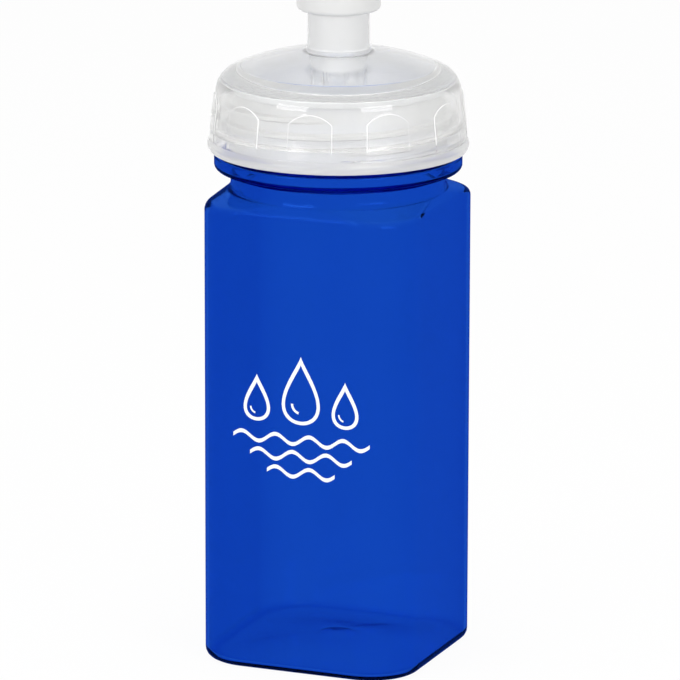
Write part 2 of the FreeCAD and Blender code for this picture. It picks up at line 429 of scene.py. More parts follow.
def wire(bm: BMesh, corners: Sequence[Corner], closed: bool = True, segments: int = 6) -> None:
    """Draws a turned piece's outline in the XZ plane and rounds its corners.

    Args:
        bm: Where it is drawn.
        corners: The outline's corners in order.
        closed: Whether the last corner joins the first.
        segments: Pieces in each round.
    """
    verts = [bm.verts.new((c.radius, 0, c.height)) for c in corners]
    pairs = list(zip(verts, verts[1:]))
    if closed:
        pairs.append((verts[-1], verts[0]))
    for start, end in pairs:
        bm.edges.new((start, end))
    for index, corner in enumerate(corners):
        if corner.round == 0:
            continue
        here = verts[index].co.copy()
        before = Vector((corners[index - 1].radius, 0, corners[index - 1].height)) - here
        following = corners[(index + 1) % len(corners)]
        after = Vector((following.radius, 0, following.height)) - here
        reach = corner.round / math.tan(before.angle(after) / 2)
        bmesh.ops.bevel(bm, geom=[verts[index]], offset=reach, offset_type="ABSOLUTE", segments=segments,
                        profile=0.5, affect="VERTICES", material=-1)


def turn(bm: BMesh, steps: int) -> None:
    """Turns everything drawn in the XZ plane about Z into a closed shape.

    Args:
        bm: The drawing, which becomes the shape.
        steps: Columns in a full turn.
    """
    bmesh.ops.spin(bm, geom=[*bm.verts, *bm.edges], cent=(0, 0, 0), axis=UP, dvec=(0, 0, 0),
                   angle=2 * math.pi, steps=steps, use_merge=True)
    bmesh.ops.remove_doubles(bm, verts=bm.verts, dist=WELD)
    face_outwards(bm)


@dataclass
class Thread:
    """The screw thread that the neck and the lid share, running up anticlockwise."""

    pitch: float = 4.5 * MM
    start_angle: float = math.radians(-67.8)
    first_height: float = 147.0 * MM
    neck_turns: float = 2.0
    lid_turns: float = 1.8
    neck_crest: float = 31.0 * MM
    lid_crest: float = 30.3 * MM
    widths: tuple[float, float] = (2.1 * MM, 0.9 * MM)
    fade: float = 0.12
    least_stand: float = 0.05
    rooted: float = 0.1 * MM
    steps_per_turn: int = 72

    def ridge(self, name: str, root: Callable[[float], float], crest: float, start: float,
              turns: float) -> Object:
        """Makes a ridge with ends that fade into the wall.

        Args:
            name: The piece's name.
            root: Radius of the wall it stands on at a height.
            crest: Radius of its crest.
            start: Height of its lower end.
            turns: How many turns it makes.

        Returns:
            The new object.
        """
        foot, top = (width / 2 for width in self.widths)
        root_now = root(start)
        bm = bmesh.new()
        drawn = [bm.verts.new((radius, 0, start + height)) for radius, height in
                 ((root_now, -foot), (crest, -top), (crest, top), (root_now, foot))]
        edges = [bm.edges.new(ends) for ends in zip(drawn, drawn[1:] + drawn[:1])]
        bmesh.ops.spin(bm, geom=[*drawn, *edges], cent=(0, 0, 0), axis=UP,
                       dvec=(0, 0, self.pitch / self.steps_per_turn), angle=2 * math.pi * turns,
                       steps=round(turns * self.steps_per_turn), use_merge=False)
        bmesh.ops.holes_fill(bm, edges=[e for e in bm.edges if e.is_boundary], sides=len(drawn))
        for vert in bm.verts:
            angle = math.atan2(vert.co.y, vert.co.x) / (2 * math.pi)
            climbed = (vert.co.z - start) / self.pitch
            travelled = angle + round(climbed - angle)
            near_end = min(travelled, turns - travelled) / self.fade
            wall = root(vert.co.z)
            is_crest = abs(vert.co.xy.length - crest) < abs(vert.co.xy.length - root_now)
            height = crest - wall if is_crest else 0.0
            radius = wall + height * min(1.0, max(self.least_stand, near_end))
            vert.co.xy = vert.co.xy.normalized() * radius
        face_outwards(bm)
        bmesh.ops.rotate(bm, verts=bm.verts, cent=(0, 0, 0), matrix=Matrix.Rotation(self.start_angle, 3, UP))
        return mesh_object(bm, name)

    def on_neck(self, neck: float) -> Object:
        """Makes the ridge on a neck of a radius."""
        return self.ridge("neck_thread", lambda height: neck - self.rooted, self.neck_crest,
                          self.first_height, self.neck_turns)

    def in_skirt(self, inside: Callable[[float], float]) -> Object:
        """Makes the ridge inside a skirt, half a turn's rise under the neck's."""
        return self.ridge("lid_thread", lambda height: inside(height) + self.rooted, self.lid_crest,
                          self.first_height - self.pitch / 2, self.lid_turns)


@dataclass
class BottleBody:
    """Blown body: square walls, hollow base, shoulder, bead, and the pale neck with its thread."""

    half_side: float = 31.5 * MM
    corner: float = 14.6 * MM
    wall: float = 0.9 * MM
    floor: float = 1.4 * MM
    base_edge: float = 2.6 * MM
    push_up: float = 2.4 * MM
    band: float = 7.0 * MM
    ease: float = 3.4 * MM
    gate: float = 5.0 * MM
    gate_depth: float = 0.6 * MM
    gate_core: float = 1.5 * MM
    wall_height: float = 127.2 * MM
    shoulder_rise: float = 6.2 * MM
    crease: float = 2.1 * MM
    hollow: float = 2.3 * MM
    neck: float = 29.7 * MM
    neck_wall: float = 1.6 * MM
    groove_depth: float = 0.1 * MM
    groove_height: float = 2.3 * MM
    flank_rise: float = 1.7 * MM
    bead_band: float = 4.2 * MM
    bead_edge: float = 1.2 * MM
    rim_round: float = 0.4 * MM
    floor_tint: float = 0.5
    corner_steps: int = 16
    round_steps: int = 5
    dome_steps: int = 20
    neck_columns: int = 160
    sharp_angle: float = 30.0

    def __post_init__(self) -> None:
        """Works out where the coloured plastic ends and how far the push-up reaches."""
        self.shoulder_top = self.wall_height + self.shoulder_rise
        bead_top = self.shoulder_top + self.groove_height + self.flank_rise + self.bead_band
        self.neck_foot = bead_top + self.rim_round
        self.foot = self.half_side - self.band + self.ease

    def places(self, section: Section) -> list[Vector]:
        """Points of one rounded square ring.

        Args:
            section: Its size and height.

        Returns:
            The points in order, as many in each corner, evenly spaced where the ring is a circle.
        """
        steps = self.corner_steps
        points = []
        for quarter in range(4):
            flat = section.half - section.corner
            centre = Matrix.Rotation(quarter * math.pi / 2, 2) @ Vector((flat, flat))
            for step in range(steps + 1):
                share = step / steps if flat > 0 else (step + 0.5) / (steps + 1)
                angle = (quarter + share) * math.pi / 2
                outward = Vector((math.cos(angle), math.sin(angle)))
                points.append((centre + outward * section.corner).to_3d() + UP * section.height)
        return points

    def grow(self, bm: BMesh, ring: list[BMVert], section: Section) -> list[BMVert]:
        """Extrudes a ring to the next section.

        Args:
            bm: The shell so far.
            ring: Its last ring, in order.
            section: Where the new ring goes.

        Returns:
            The new ring, in the same order.
        """
        edges = [bm.edges.get((ring[index - 1], vert)) for index, vert in enumerate(ring)]
        grown = bmesh.ops.extrude_edge_only(bm, edges=edges)["geom"]
        fresh = {item for item in grown if isinstance(item, BMVert)}
        following = []
        for vert, place in zip(ring, self.places(section)):
            partner = next(other for edge in vert.link_edges if (other := edge.other_vert(vert)) in fresh)
            partner.co = place
            following.append(partner)
        return following

    def round_ring(self, radius: float, height: float) -> Section:
        """A ring that is a circle."""
        return Section(radius, radius, height)

    def base(self, inset: float) -> Iterable[Section]:
        """Rings of the base, from the middle of the push-up out to the foot of the walls.

        Args:
            inset: 0 for the outside, or the wall's thickness for the inside.

        Returns:
            The rings in order.
        """
        lift = self.floor if inset else 0.0
        plateau = self.push_up + lift
        yield self.round_ring(self.gate_core, plateau + self.gate_depth)
        yield self.round_ring(self.gate, plateau)
        for step in range(1, self.dome_steps + 1):
            part = step / self.dome_steps
            height = plateau - self.push_up * (1 - math.cos(math.pi * part)) / 2
            half, corner = (self.gate + (end - self.gate) * part for end in (self.foot, self.corner))
            yield Section(half, corner, height)
        edge = self.base_edge - inset
        for step in range(self.round_steps + 1):
            part = math.pi / 2 * step / self.round_steps
            drawn_in = inset + edge * (1 - math.sin(part))
            height = lift + edge * (1 - math.cos(part))
            yield Section(self.half_side - drawn_in, self.corner - drawn_in, height)

    def shoulder(self, inset: float) -> Iterable[Section]:
        """Rings of the shoulder, which runs round the crease, straight, and round the hollow to the neck.

        Args:
            inset: 0 for the outside, or the wall's thickness for the inside.

        Returns:
            The rings from the square walls up to the round groove.
        """
        groove = self.neck - self.groove_depth
        run = self.half_side * math.sqrt(2) - self.corner * (math.sqrt(2) - 1) - groove
        rounds = self.crease + self.hollow
        span = math.hypot(run - rounds, self.shoulder_rise)
        bend = math.acos(-rounds / span) - math.atan2(self.shoulder_rise, run - rounds)
        parts = [bend * step / self.round_steps for step in range(self.round_steps + 1)]
        steps = [(self.crease * (1 - math.cos(part)) / run, self.wall_height + self.crease * math.sin(part))
                 for part in parts]
        steps += [(1 - self.hollow * (1 - math.cos(part)) / run,
                   self.shoulder_top - self.hollow * math.sin(part)) for part in reversed(parts)]
        for share, height in steps:
            half = self.half_side + (groove - self.half_side) * share
            corner = self.corner + (groove - self.corner) * share
            yield Section(half - inset, corner - inset, height)

    def finish(self, inset: float) -> Iterable[Section]:
        """Rings of the groove and the bead up to the foot of the neck.

        Args:
            inset: 0 for the outside, or the wall's thickness for the inside.

        Returns:
            The rings in order.
        """
        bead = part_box("bottle_body")[1].x - inset
        foot = self.shoulder_top + self.groove_height + inset
        low = foot + self.flank_rise
        top = low + self.bead_band - 2 * inset
        groove = self.neck - self.groove_depth - inset
        mouth = self.neck - (self.neck_wall if inset else 0.0)
        edge = self.bead_edge - inset
        yield self.round_ring(groove, foot)
        bend = math.atan2(self.flank_rise, bead - groove)
        middle = low + edge * (1 / math.cos(bend) - math.tan(bend))
        parts = [step / self.round_steps for step in range(self.round_steps + 1)]
        for part in (bend + (math.pi / 2 - bend) * share for share in parts):
            yield self.round_ring(bead - edge * (1 - math.sin(part)), middle - edge * math.cos(part))
        for part in (math.pi / 2 * share for share in parts):
            yield self.round_ring(bead - edge * (1 - math.cos(part)), top - edge * (1 - math.sin(part)))
        yield self.round_ring(mouth + self.rim_round, top)
        yield self.round_ring(mouth, top + self.rim_round)
        if inset:
            yield self.round_ring(mouth, self.neck_foot)

    def build(self) -> Object:
        """Builds the body's shell: up the outside, in at the foot of the neck and down the inside.

        Returns:
            The new object.
        """
        bm = bmesh.new()
        outside, inside = ([*self.base(inset), *self.shoulder(inset), *self.finish(inset)]
                           for inset in (0.0, self.wall))
        first, *others = [*outside, *reversed(inside)]
        inner_skin = bm.verts.layers.float.new(INNER_SKIN)
        tint_depth = bm.verts.layers.float.new(TINT_DEPTH)
        count = 4 * (self.corner_steps + 1)
        ring = bmesh.ops.create_circle(bm, segments=count, radius=first.half, cap_ends=True)["verts"]
        for vert, place in zip(ring, self.places(first)):
            vert.co = place
            vert[tint_depth] = self.floor_tint
        for index, section in enumerate(others, start=1):
            ring = self.grow(bm, ring, section)
            for vert in ring:
                vert[inner_skin] = 1.0 if index >= len(outside) else 0.0
                vert[tint_depth] = self.floor_tint if section.half <= self.foot else 1.0
        bmesh.ops.contextual_create(bm, geom=ring)
        face_outwards(bm)
        piece = mesh_object(bm, "blown_body", self.sharp_angle)
        keep_flats_flat(piece)
        return piece

    def build_neck(self) -> Object:
        """Builds the straight neck with its rounded rim.

        Returns:
            The new object.
        """
        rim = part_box("bottle_body")[1].z
        inside = self.neck - self.neck_wall
        low = self.neck_foot + 2 * WELD
        bm = bmesh.new()
        wire(bm, [Corner(inside, low), Corner(self.neck, low), Corner(self.neck, rim, self.rim_round),
                  Corner(inside, rim, self.rim_round)])
        turn(bm, self.neck_columns)
        return mesh_object(bm, "pale_neck")

    def dress(self, thread: Thread, effects: Effects, tinted: TintedClear, pale: Plastic,
              inside_painted_light: Plastic) -> None:
        """Builds the body's pieces, gives them their finishes and puts them on the bottle.

        Args:
            thread: The thread on the neck.
            effects: The shared node groups.
            tinted: Finish of the body.
            pale: Finish of the neck and its thread.
            inside_painted_light: Finish of the neck's inside, a lighter copy of the neck's plastic as
                painted light.
        """
        body, neck = self.build(), self.build_neck()
        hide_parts("bottle_body")
        pale_plastic = pale.material(effects)
        dressed = {body: [tinted.material(effects)], neck: [pale_plastic, inside_painted_light.material(effects)],
                   thread.on_neck(self.neck): [pale_plastic]}
        for piece, plastics in dressed.items():
            hand_over(piece, Body.BOTTLE, Slot.BLUE, plastics)
        # Inward faces take the second material, the lighter copy that is painted light.
        for face in neck.data.polygons:
            face.material_index = 1 if face.normal.xy.dot(face.center.xy) < 0 else 0


@dataclass
class FrontPrint:
    """One-colour print on the front wall: three drops over three waves, in a film that follows the wall."""

    body: BottleBody
    middle: float = 2.0 * MM
    film: float = 0.04 * MM
    lift: float = 0.01 * MM
    line: float = 1.1 * MM
    wave_length: float = 10.0 * MM
    wave_height: float = 1.2 * MM
    wave_steps: int = 24
    rows: tuple[tuple[int, float], ...] = ((4, 67.0 * MM), (3, 62.4 * MM), (2, 57.8 * MM))
    drops: tuple[Drop, ...] = (Drop(0.0, 81.0 * MM, 5.6 * MM, 9.6 * MM),
                               Drop(-13.0 * MM, 78.0 * MM, 3.9 * MM, 6.6 * MM),
                               Drop(13.0 * MM, 78.0 * MM, 3.9 * MM, 6.6 * MM))
    drop_line: float = 0.935 * MM
    drop_steps: int = 56
    drop_taper: float = 1.5
    belly_drop: float = 0.4
    shine: tuple[float, float] = (0.40, 0.52)
    shine_angle: float = math.radians(-75.0)
    shine_steps: int = 10

    def draw_wave(self, bm: BMesh, waves: int, height: float) -> None:
        """Draws one wavy line.

        Args:
            bm: The flat print, with its width along X and its height along Z.
            waves: How many waves it has.
            height: The height of its middle.
        """
        count = waves * self.wave_steps
        start = Vector((-waves * self.wave_length / 2, 0, height))
        half = UP * self.line / 2
        edge = bm.edges.new([bm.verts.new(start + half), bm.verts.new(start - half)])
        climbed = 0.0
        for step in range(1, count + 1):
            swing = self.wave_height * math.sin(2 * math.pi * step / self.wave_steps)
            grown = bmesh.ops.extrude_edge_only(bm, edges=[edge])["geom"]
            edge = next(item for item in grown if isinstance(item, BMEdge))
            stride = (self.wave_length / self.wave_steps, 0, swing - climbed)
            bmesh.ops.translate(bm, vec=stride, verts=edge.verts)
            climbed = swing

    def draw_drop(self, bm: BMesh, drop: Drop) -> None:
        """Draws one outlined drop with a short shine line in it.

        Args:
            bm: The flat print.
            drop: Its place and size.
        """
        widest = 0.70
        belly = Vector((drop.across, 0, drop.height - self.belly_drop * drop.half_height))
        ring = bmesh.ops.create_circle(bm, segments=self.drop_steps, radius=1.0)["verts"]
        for index, vert in enumerate(ring):
            part = 2 * math.pi * index / len(ring)
            swell = math.sin(part) * abs(math.sin(part / 2)) ** self.drop_taper / widest
            rise = drop.half_height * math.cos(part)
            vert.co = Vector((drop.across + drop.half_width * swell, 0, drop.height + rise))
        edges = [bm.edges.get((ring[index - 1], vert)) for index, vert in enumerate(ring)]
        grown = bmesh.ops.extrude_edge_only(bm, edges=edges)["geom"]
        inner = [item for item in grown if isinstance(item, BMVert)]
        shrink = 1 - self.drop_line / drop.half_width
        bmesh.ops.scale(bm, vec=(shrink, 1, shrink), space=Matrix.Translation(-belly), verts=inner)
        ends = [bm.verts.new(belly - Vector((drop.half_width * share, 0, 0))) for share in self.shine]
        bmesh.ops.spin(bm, geom=[*ends, bm.edges.new(ends)], cent=belly, axis=(0, 1, 0), dvec=(0, 0, 0),
                       angle=self.shine_angle, steps=self.shine_steps, use_merge=False)

    def wrap(self, place: Vector) -> Vector:
        """Lays a point of the flat print on the wall and round its corners.

        Args:
            place: The point.

        Returns:
            Its place on the bottle.
        """
        flat = self.body.half_side - self.body.corner
        across = place.x + self.middle
        out = self.lift - place.y
        if abs(across) <= flat:
            return Vector((across, -self.body.half_side - out, place.z))
        turn_by = (abs(across) - flat) / self.body.corner
        reach = self.body.corner + out
        side = math.copysign(flat + reach * math.sin(turn_by), across)
        return Vector((side, -flat - reach * math.cos(turn_by), place.z))

    def dress(self, effects: Effects, ink: Plastic) -> None:
        """Builds the print and puts it on the bottle.

        Args:
            effects: The shared node groups.
            ink: Its finish.
        """
        bm = bmesh.new()
        for waves, height in self.rows:
            self.draw_wave(bm, waves, height)
        for drop in self.drops:
            self.draw_drop(bm, drop)
        raised = bmesh.ops.extrude_face_region(bm, geom=list(bm.faces))["geom"]
        bmesh.ops.translate(bm, vec=(0, -self.film, 0), verts=[v for v in raised if isinstance(v, BMVert)])
        for vert in bm.verts:
            vert.co = self.wrap(vert.co)
        face_outwards(bm)
        piece = mesh_object(bm, "front_print")
        hand_over(piece, Body.BOTTLE, Slot.WHITE, [ink.material(effects)])


@dataclass
class SealRing:
    """Flat sealing ring between the rim and the lid."""

    inside: float = 26.6 * MM
    edge_round: float = 0.5 * MM
    round_steps: int = 4
    columns: int = 128

    def dress(self, effects: Effects, finish: Plastic) -> None:
        """Builds the ring and puts it under the lid.

        Args:
            effects: The shared node groups.
            finish: Its finish.
        """
        low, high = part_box("lid_gasket")
        section = ((self.inside, low.z), (high.x, low.z), (high.x, high.z), (self.inside, high.z))
        bm = bmesh.new()
        wire(bm, [Corner(*place, self.edge_round) for place in section], segments=self.round_steps)
        turn(bm, self.columns)
        piece = mesh_object(bm, "sealing_ring")
        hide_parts("lid_gasket")
        hand_over(piece, Body.SEAL, Slot.RUBBER, [finish.material(effects)])


@dataclass
class ScrewLid:
    """Screw lid: drafted skirt with arched grips, dome, chimney, and the cage that holds the stopper pin."""

    wall: float = 1.6 * MM
    skirt_inside_top: float = 31.6 * MM
    skirt_draft: float = 2.65 * MM
    lip_height: float = 3.4 * MM
    foot_taper: float = 0.7 * MM
    foot_round: float = 0.5 * MM
    lip_crown: float = 0.13 * MM
    roll_round: float = 1.6 * MM
    roll_fillet: float = 0.6 * MM
    seat_fillet: float = 0.6 * MM
    small_round: float = 0.3 * MM
    seat_to_corner: float = 1.75 * MM
    dome: float = 78.5 * MM
    dome_corner: float = 6.3 * MM
    dome_steps: int = 8
    inner_share: float = 0.6
    grip_count: int = 10
    grip_stand: float = 0.35 * MM
    grip_fade: float = 4.5 * MM
    grip_edge_slant: float = 0.8
    grip_rounding: tuple[tuple[float, float], ...] = ((0.15 * MM, 0.15), (0.2 * MM, 0.7), (0.15 * MM, 0.15))
    grip_clear: float = 0.6 * MM
    row_lifts: tuple[float, float, float] = (2.4 * MM, 1.0 * MM, 0.5 * MM)
    grip_half_width: float = 6.3 * MM
    grip_half_angle: float = math.radians(10.5)
    grip_apex_drop: float = 4.6 * MM
    grip_arch_rise: float = 2.8 * MM
    grip_first: float = math.radians(-80.8)
    barrel: float = 8.43 * MM
    barrel_height: float = 14.4 * MM
    barrel_draft: float = 0.15 * MM
    barrel_fillet: float = 1.6 * MM
    barrel_round: float = 0.4 * MM
    clear_foot: float = 0.7 * MM
    bore: float = 7.0 * MM
    lip_bore: float = 6.5 * MM
    lip_bore_length: float = 5.5 * MM
    cage_wall: float = 0.75 * MM
    cage_depth: float = 9.6 * MM
    cage_floor: float = 1.2 * MM
    cage_fillet: float = 0.8 * MM
    window_count: int = 3
    window_height: float = 4.4 * MM
    window_start: float = math.radians(-21.0)
    window_end: float = math.radians(25.5)
    pin: float = 2.2 * MM
    pin_root: float = 2.8 * MM
    pin_fillet: float = 0.5 * MM
    pin_round: float = 0.6 * MM
    pin_tip: float = 1.0 * MM
    pin_tip_round: float = 0.4 * MM
    columns: int = 240

    def __post_init__(self) -> None:
        """Works out the heights that follow from the frame and the sizes."""
        low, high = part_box("screw_lid")
        self.low = low.z
        self.pin_top = high.z
        self.lip = high.x
        self.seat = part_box("lid_gasket")[1].z
        self.corner_height = self.seat + self.seat_to_corner
        self.corner_radius = self.skirt_inside_top + self.wall
        self.dome_centre = self.corner_height - math.sqrt(self.dome ** 2 - self.corner_radius ** 2)
        self.foot = self.low + self.lip_height
        self.apex = self.corner_height - self.grip_apex_drop
        self.spring = self.apex - self.grip_arch_rise
        self.cage = self.bore + self.cage_wall
        self.cage_low = self.dome_corner_at(self.cage, self.wall).height - self.cage_depth
        self.cage_top = self.cage_low + self.cage_floor
        self.window_top = self.cage_top + self.window_height
        self.barrel_foot = self.dome_corner_at(self.barrel + self.barrel_draft).height
        self.barrel_top = self.barrel_foot + self.barrel_height

    def dome_corner_at(self, radius: float, inset: float = 0.0, round_to: float = 0.0) -> Corner:
        """A corner on the dome, or on a face inset from it."""
        return Corner(radius, self.dome_centre + math.sqrt((self.dome - inset) ** 2 - radius ** 2), round_to)

    def skirt(self, height: float) -> float:
        """Radius of the skirt's outside at a height."""
        fall = (self.corner_height - height) / (self.corner_height - self.low)
        return self.corner_radius + self.skirt_draft * fall

    def skirt_inside(self, height: float) -> float:
        """Radius of the skirt's inside at a height."""
        return self.skirt_inside_top + self.skirt_draft * (self.seat - height) / (self.seat - self.low)

    def outline(self) -> list[Corner]:
        """Works out the lid's outline.

        Returns:
            The corners, from the underside of the cage round the outside to the tip of the pin.
        """
        cage, cage_top, window_top, barrel_top = self.cage, self.cage_top, self.window_top, self.barrel_top
        ring_inside = SealRing().inside
        foot_radius = self.barrel + self.barrel_draft
        lip_low = barrel_top - self.lip_bore_length
        low_row, middle_row, top_row = self.row_lifts
        corners = [Corner(0, self.cage_low), Corner(cage, self.cage_low, self.small_round),
                   Corner(cage, cage_top), Corner(cage, window_top),
                   self.dome_corner_at(cage, self.wall, self.cage_fillet)]
        for step in range(1, self.dome_steps):
            radius = cage + (ring_inside - cage) * step / self.dome_steps
            corners.append(self.dome_corner_at(radius, self.wall))
        corners += [self.dome_corner_at(ring_inside, self.wall, self.seat_fillet),
                    Corner(ring_inside, self.seat, self.small_round),
                    Corner(self.skirt_inside_top, self.seat, self.small_round),
                    Corner(self.skirt_inside(self.low), self.low, self.small_round),
                    Corner(self.lip - self.foot_taper, self.low, self.foot_round),
                    Corner(self.lip + self.lip_crown, self.low + self.lip_height / 2, self.roll_round),
                    Corner(self.skirt(self.foot), self.foot, self.roll_fillet)]
        for height in (self.foot + low_row, (self.foot + self.spring) / 2 + middle_row, self.spring,
                       self.apex + top_row):
            corners.append(Corner(self.skirt(height), height))
        corners.append(Corner(self.corner_radius, self.corner_height, self.dome_corner))
        for step in range(2, self.dome_steps):
            radius = self.corner_radius + (foot_radius - self.corner_radius) * step / self.dome_steps
            corners.append(self.dome_corner_at(radius))
        corners += [self.dome_corner_at(foot_radius, 0.0, self.barrel_fillet),
                    Corner(self.barrel, barrel_top, self.barrel_round),
                    Corner(self.lip_bore, barrel_top, self.small_round),
                    Corner(self.lip_bore, lip_low), Corner(self.bore, lip_low),
                    Corner(self.bore, window_top), Corner(self.bore, cage_top),
                    Corner(self.pin_root, cage_top, self.pin_fillet),
                    Corner(self.pin, self.barrel_foot),
                    Corner(self.pin, self.pin_top - self.pin_tip, self.pin_round),
                    Corner(self.pin / 2, self.pin_top, self.pin_tip_round), Corner(0, self.pin_top)]
        return corners

    def arch(self, off_middle: float) -> float:
        """Height of a grip's arch.

        Args:
            off_middle: Plan angle from the grip's middle.

        Returns:
            The height of the arch there.
        """
        across = self.grip_half_width * off_middle / self.grip_half_angle
        round_to = (self.grip_half_width ** 2 + self.grip_arch_rise ** 2) / (2 * self.grip_arch_rise)
        return self.apex - round_to + math.sqrt(round_to ** 2 - across ** 2)

    def across_grip(self, place: Vector) -> float:
        """Where a point lies across the nearest grip.

        Args:
            place: The point.

        Returns:
            Its plan angle from the grip's middle.
        """
        spacing = 2 * math.pi / self.grip_count
        angle = math.atan2(place.y, place.x)
        return angle - spacing * round(angle / spacing)

    def raise_grips(self, bm: BMesh) -> None:
        """Raises the arched grips on the skirt, fading into the roll at the foot.

        Args:
            bm: The turned lid.
        """
        for vert in bm.verts:
            on_skirt = abs(vert.co.xy.length - self.skirt(vert.co.z)) < CLOSE
            off_middle = self.across_grip(vert.co)
            if on_skirt and abs(vert.co.z - self.spring) < CLOSE and abs(off_middle) < self.grip_half_angle:
                height = self.arch(off_middle)
                vert.co = Vector((*(vert.co.xy.normalized() * self.skirt(height)), height))
        grip_faces = [face for face in bm.faces if self.in_grip(face)]
        pads = set(grip_faces)
        for thickness, share in self.grip_rounding:
            rims = bmesh.ops.inset_region(bm, faces=grip_faces, thickness=thickness,
                                          depth=self.grip_stand * share, use_boundary=True,
                                          use_even_offset=True)
            pads.update(rims["faces"])
        for vert in {vert for face in pads for vert in face.verts}:
            skirt = self.skirt(vert.co.z)
            risen = min(1.0, max(0.0, (vert.co.z - self.foot) / self.grip_fade))
            stand = (vert.co.xy.length - skirt) * risen * risen * (3 - 2 * risen)
            vert.co.xy = vert.co.xy.normalized() * (skirt + stand)

    def in_grip(self, face: BMFace) -> bool:
        """Whether a face lies inside a grip.

        Args:
            face: A face of the turned lid.

        Returns:
            True for a face of the skirt within a grip's outline.
        """
        middle = face.calc_center_median()
        on_skirt = abs(middle.xy.length - self.skirt(middle.z)) <= NEAR
        off_middle = self.across_grip(middle)
        if not on_skirt or middle.z < self.foot + self.grip_clear or abs(off_middle) > self.grip_half_angle:
            return False
        return middle.z < self.arch(off_middle)

    def cut_windows(self, bm: BMesh) -> None:
        """Opens the cage's windows.

        Args:
            bm: The turned lid.
        """
        for index in range(self.window_count):
            turned = Matrix.Rotation(-index * 2 * math.pi / self.window_count, 3, UP)
            panes = []
            for face in bm.faces:
                middle = turned @ face.calc_center_median()
                angle = math.atan2(middle.y, middle.x)
                in_wall = self.bore - NEAR < middle.xy.length < self.cage + NEAR
                in_height = self.cage_top < middle.z < self.window_top
                if in_wall and in_height and self.window_start < angle < self.window_end:
                    panes.append(face)
            bmesh.ops.delete(bm, geom=panes, context="FACES")
            bmesh.ops.bridge_loops(bm, edges=[e for e in bm.edges if e.is_boundary])

    def build(self) -> Object:
        """Builds the lid's moulding.

        Returns:
            The new object.
        """
        bm = bmesh.new()
        wire(bm, self.outline(), closed=False)
        turn(bm, self.columns)
        self.cut_windows(bm)
        self.raise_grips(bm)
        face_outwards(bm)
        bmesh.ops.rotate(bm, verts=bm.verts, cent=(0, 0, 0), matrix=Matrix.Rotation(self.grip_first, 3, UP))
        return mesh_object(bm, "screw_lid_moulding")

    def part_of(self, face: MeshPolygon) -> LidPart:
        """Tells a face's part of the lid by its middle and its slant.

        Args:
            face: A face of the moulding.

        Returns:
            The part it belongs to.
        """
        place = face.center
        radius = place.xy.length
        below_dome = self.dome_corner_at(radius).height - place.z
        if below_dome < -self.clear_foot:
            return LidPart.CHIMNEY_AND_EDGE_HIGHLIGHT
        # The seat's inner face gets a dark grey finish: painted shade that darkens what the dome shows of
        # it.
        if abs(radius - SealRing().inside) < NEAR:
            return LidPart.SEAT
        # The roll gets a darker copy of the lid's plastic: painted shade against the light it gets from the
        # floor and from inside.
        if place.z < self.foot:
            return LidPart.ROLL
        slant = face.normal.xy.dot(place.xy.normalized())
        # The grips' side edges get the milky finish: a painted highlight that makes them bright lines.
        if radius > self.skirt(place.z) + TOUCHING and slant < self.grip_edge_slant:
            return LidPart.CHIMNEY_AND_EDGE_HIGHLIGHT
        depth = min(below_dome, self.skirt(place.z) - radius)
        return LidPart.UNDERSIDE if depth > self.inner_share * self.wall else LidPart.OUTSIDE

    def dress(self, thread: Thread, effects: Effects, finishes: dict[LidPart, Plastic]) -> None:
        """Builds the lid's pieces, gives them their finishes and puts them on the lid.

        Args:
            thread: The thread inside the skirt.
            effects: The shared node groups.
            finishes: The finish of each part.
        """
        lid = self.build()
        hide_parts("screw_lid")
        plastics = {part: finish.material(effects) for part, finish in finishes.items()}
        hand_over(lid, Body.LID, Slot.FROSTED, plastics.values())
        keep_flats_flat(lid)
        order = list(plastics)
        for face in lid.data.polygons:
            face.material_index = order.index(self.part_of(face))
        ridge = thread.in_skirt(self.skirt_inside)
        hand_over(ridge, Body.LID, Slot.FROSTED, [plastics[LidPart.UNDERSIDE]])


@dataclass
class PullSpout:
    """Drinking head with a stem that slides in the chimney."""

    head_low: float = 3.3 * MM
    head_band: float = 5.4 * MM
    head_top: float = 8.9 * MM
    low_round: float = 1.3 * MM
    top_round: float = 1.6 * MM
    plate: float = 3.2 * MM
    flare: float = 1.6 * MM
    hole: float = 2.25 * MM
    stem: float = 6.45 * MM
    stem_wall: float = 1.45 * MM
    bead: float = 6.92 * MM
    bead_length: float = 1.5 * MM
    skirt_inside: float = 8.78 * MM
    small_round: float = 0.3 * MM
    plate_fillet: float = 0.5 * MM
    bead_round: float = 0.2 * MM
    flare_round: float = 0.8 * MM
    hole_round: float = 0.4 * MM
    columns: int = 128

    def dress(self, lid: ScrewLid, effects: Effects, finish: Plastic) -> None:
        """Builds the spout and puts it on its body.

        Args:
            lid: The lid whose chimney it slides in.
            effects: The shared node groups.
            finish: Its finish.
        """
        low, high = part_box("pull_spout")
        head_low = lid.barrel_top - self.head_low
        band_top = head_low + self.head_band
        plate_low = high.z - self.plate
        stem_in = self.stem - self.stem_wall
        bead_top = low.z + self.bead_length
        bm = bmesh.new()
        wire(bm, [Corner(self.hole, plate_low), Corner(stem_in, plate_low, self.plate_fillet),
                  Corner(stem_in, low.z, self.small_round), Corner(self.stem, low.z, self.small_round),
                  Corner(self.bead, low.z + self.bead_length / 2),
                  Corner(self.bead, bead_top, self.bead_round),
                  Corner(self.stem, bead_top), Corner(self.stem, lid.barrel_top, self.small_round),
                  Corner(self.skirt_inside, lid.barrel_top, self.small_round),
                  Corner(self.skirt_inside, head_low, self.small_round),
                  Corner(high.x, head_low, self.low_round), Corner(high.x, band_top, self.top_round),
                  Corner(self.head_top, high.z, self.top_round),
                  Corner(self.hole + self.flare, high.z, self.flare_round),
                  Corner(self.hole, high.z - self.flare, self.hole_round)])
        turn(bm, self.columns)
        piece = mesh_object(bm, "pull_spout_moulding")
        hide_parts("pull_spout")
        hand_over(piece, Body.SPOUT, Slot.WHITE, [finish.material(effects)])


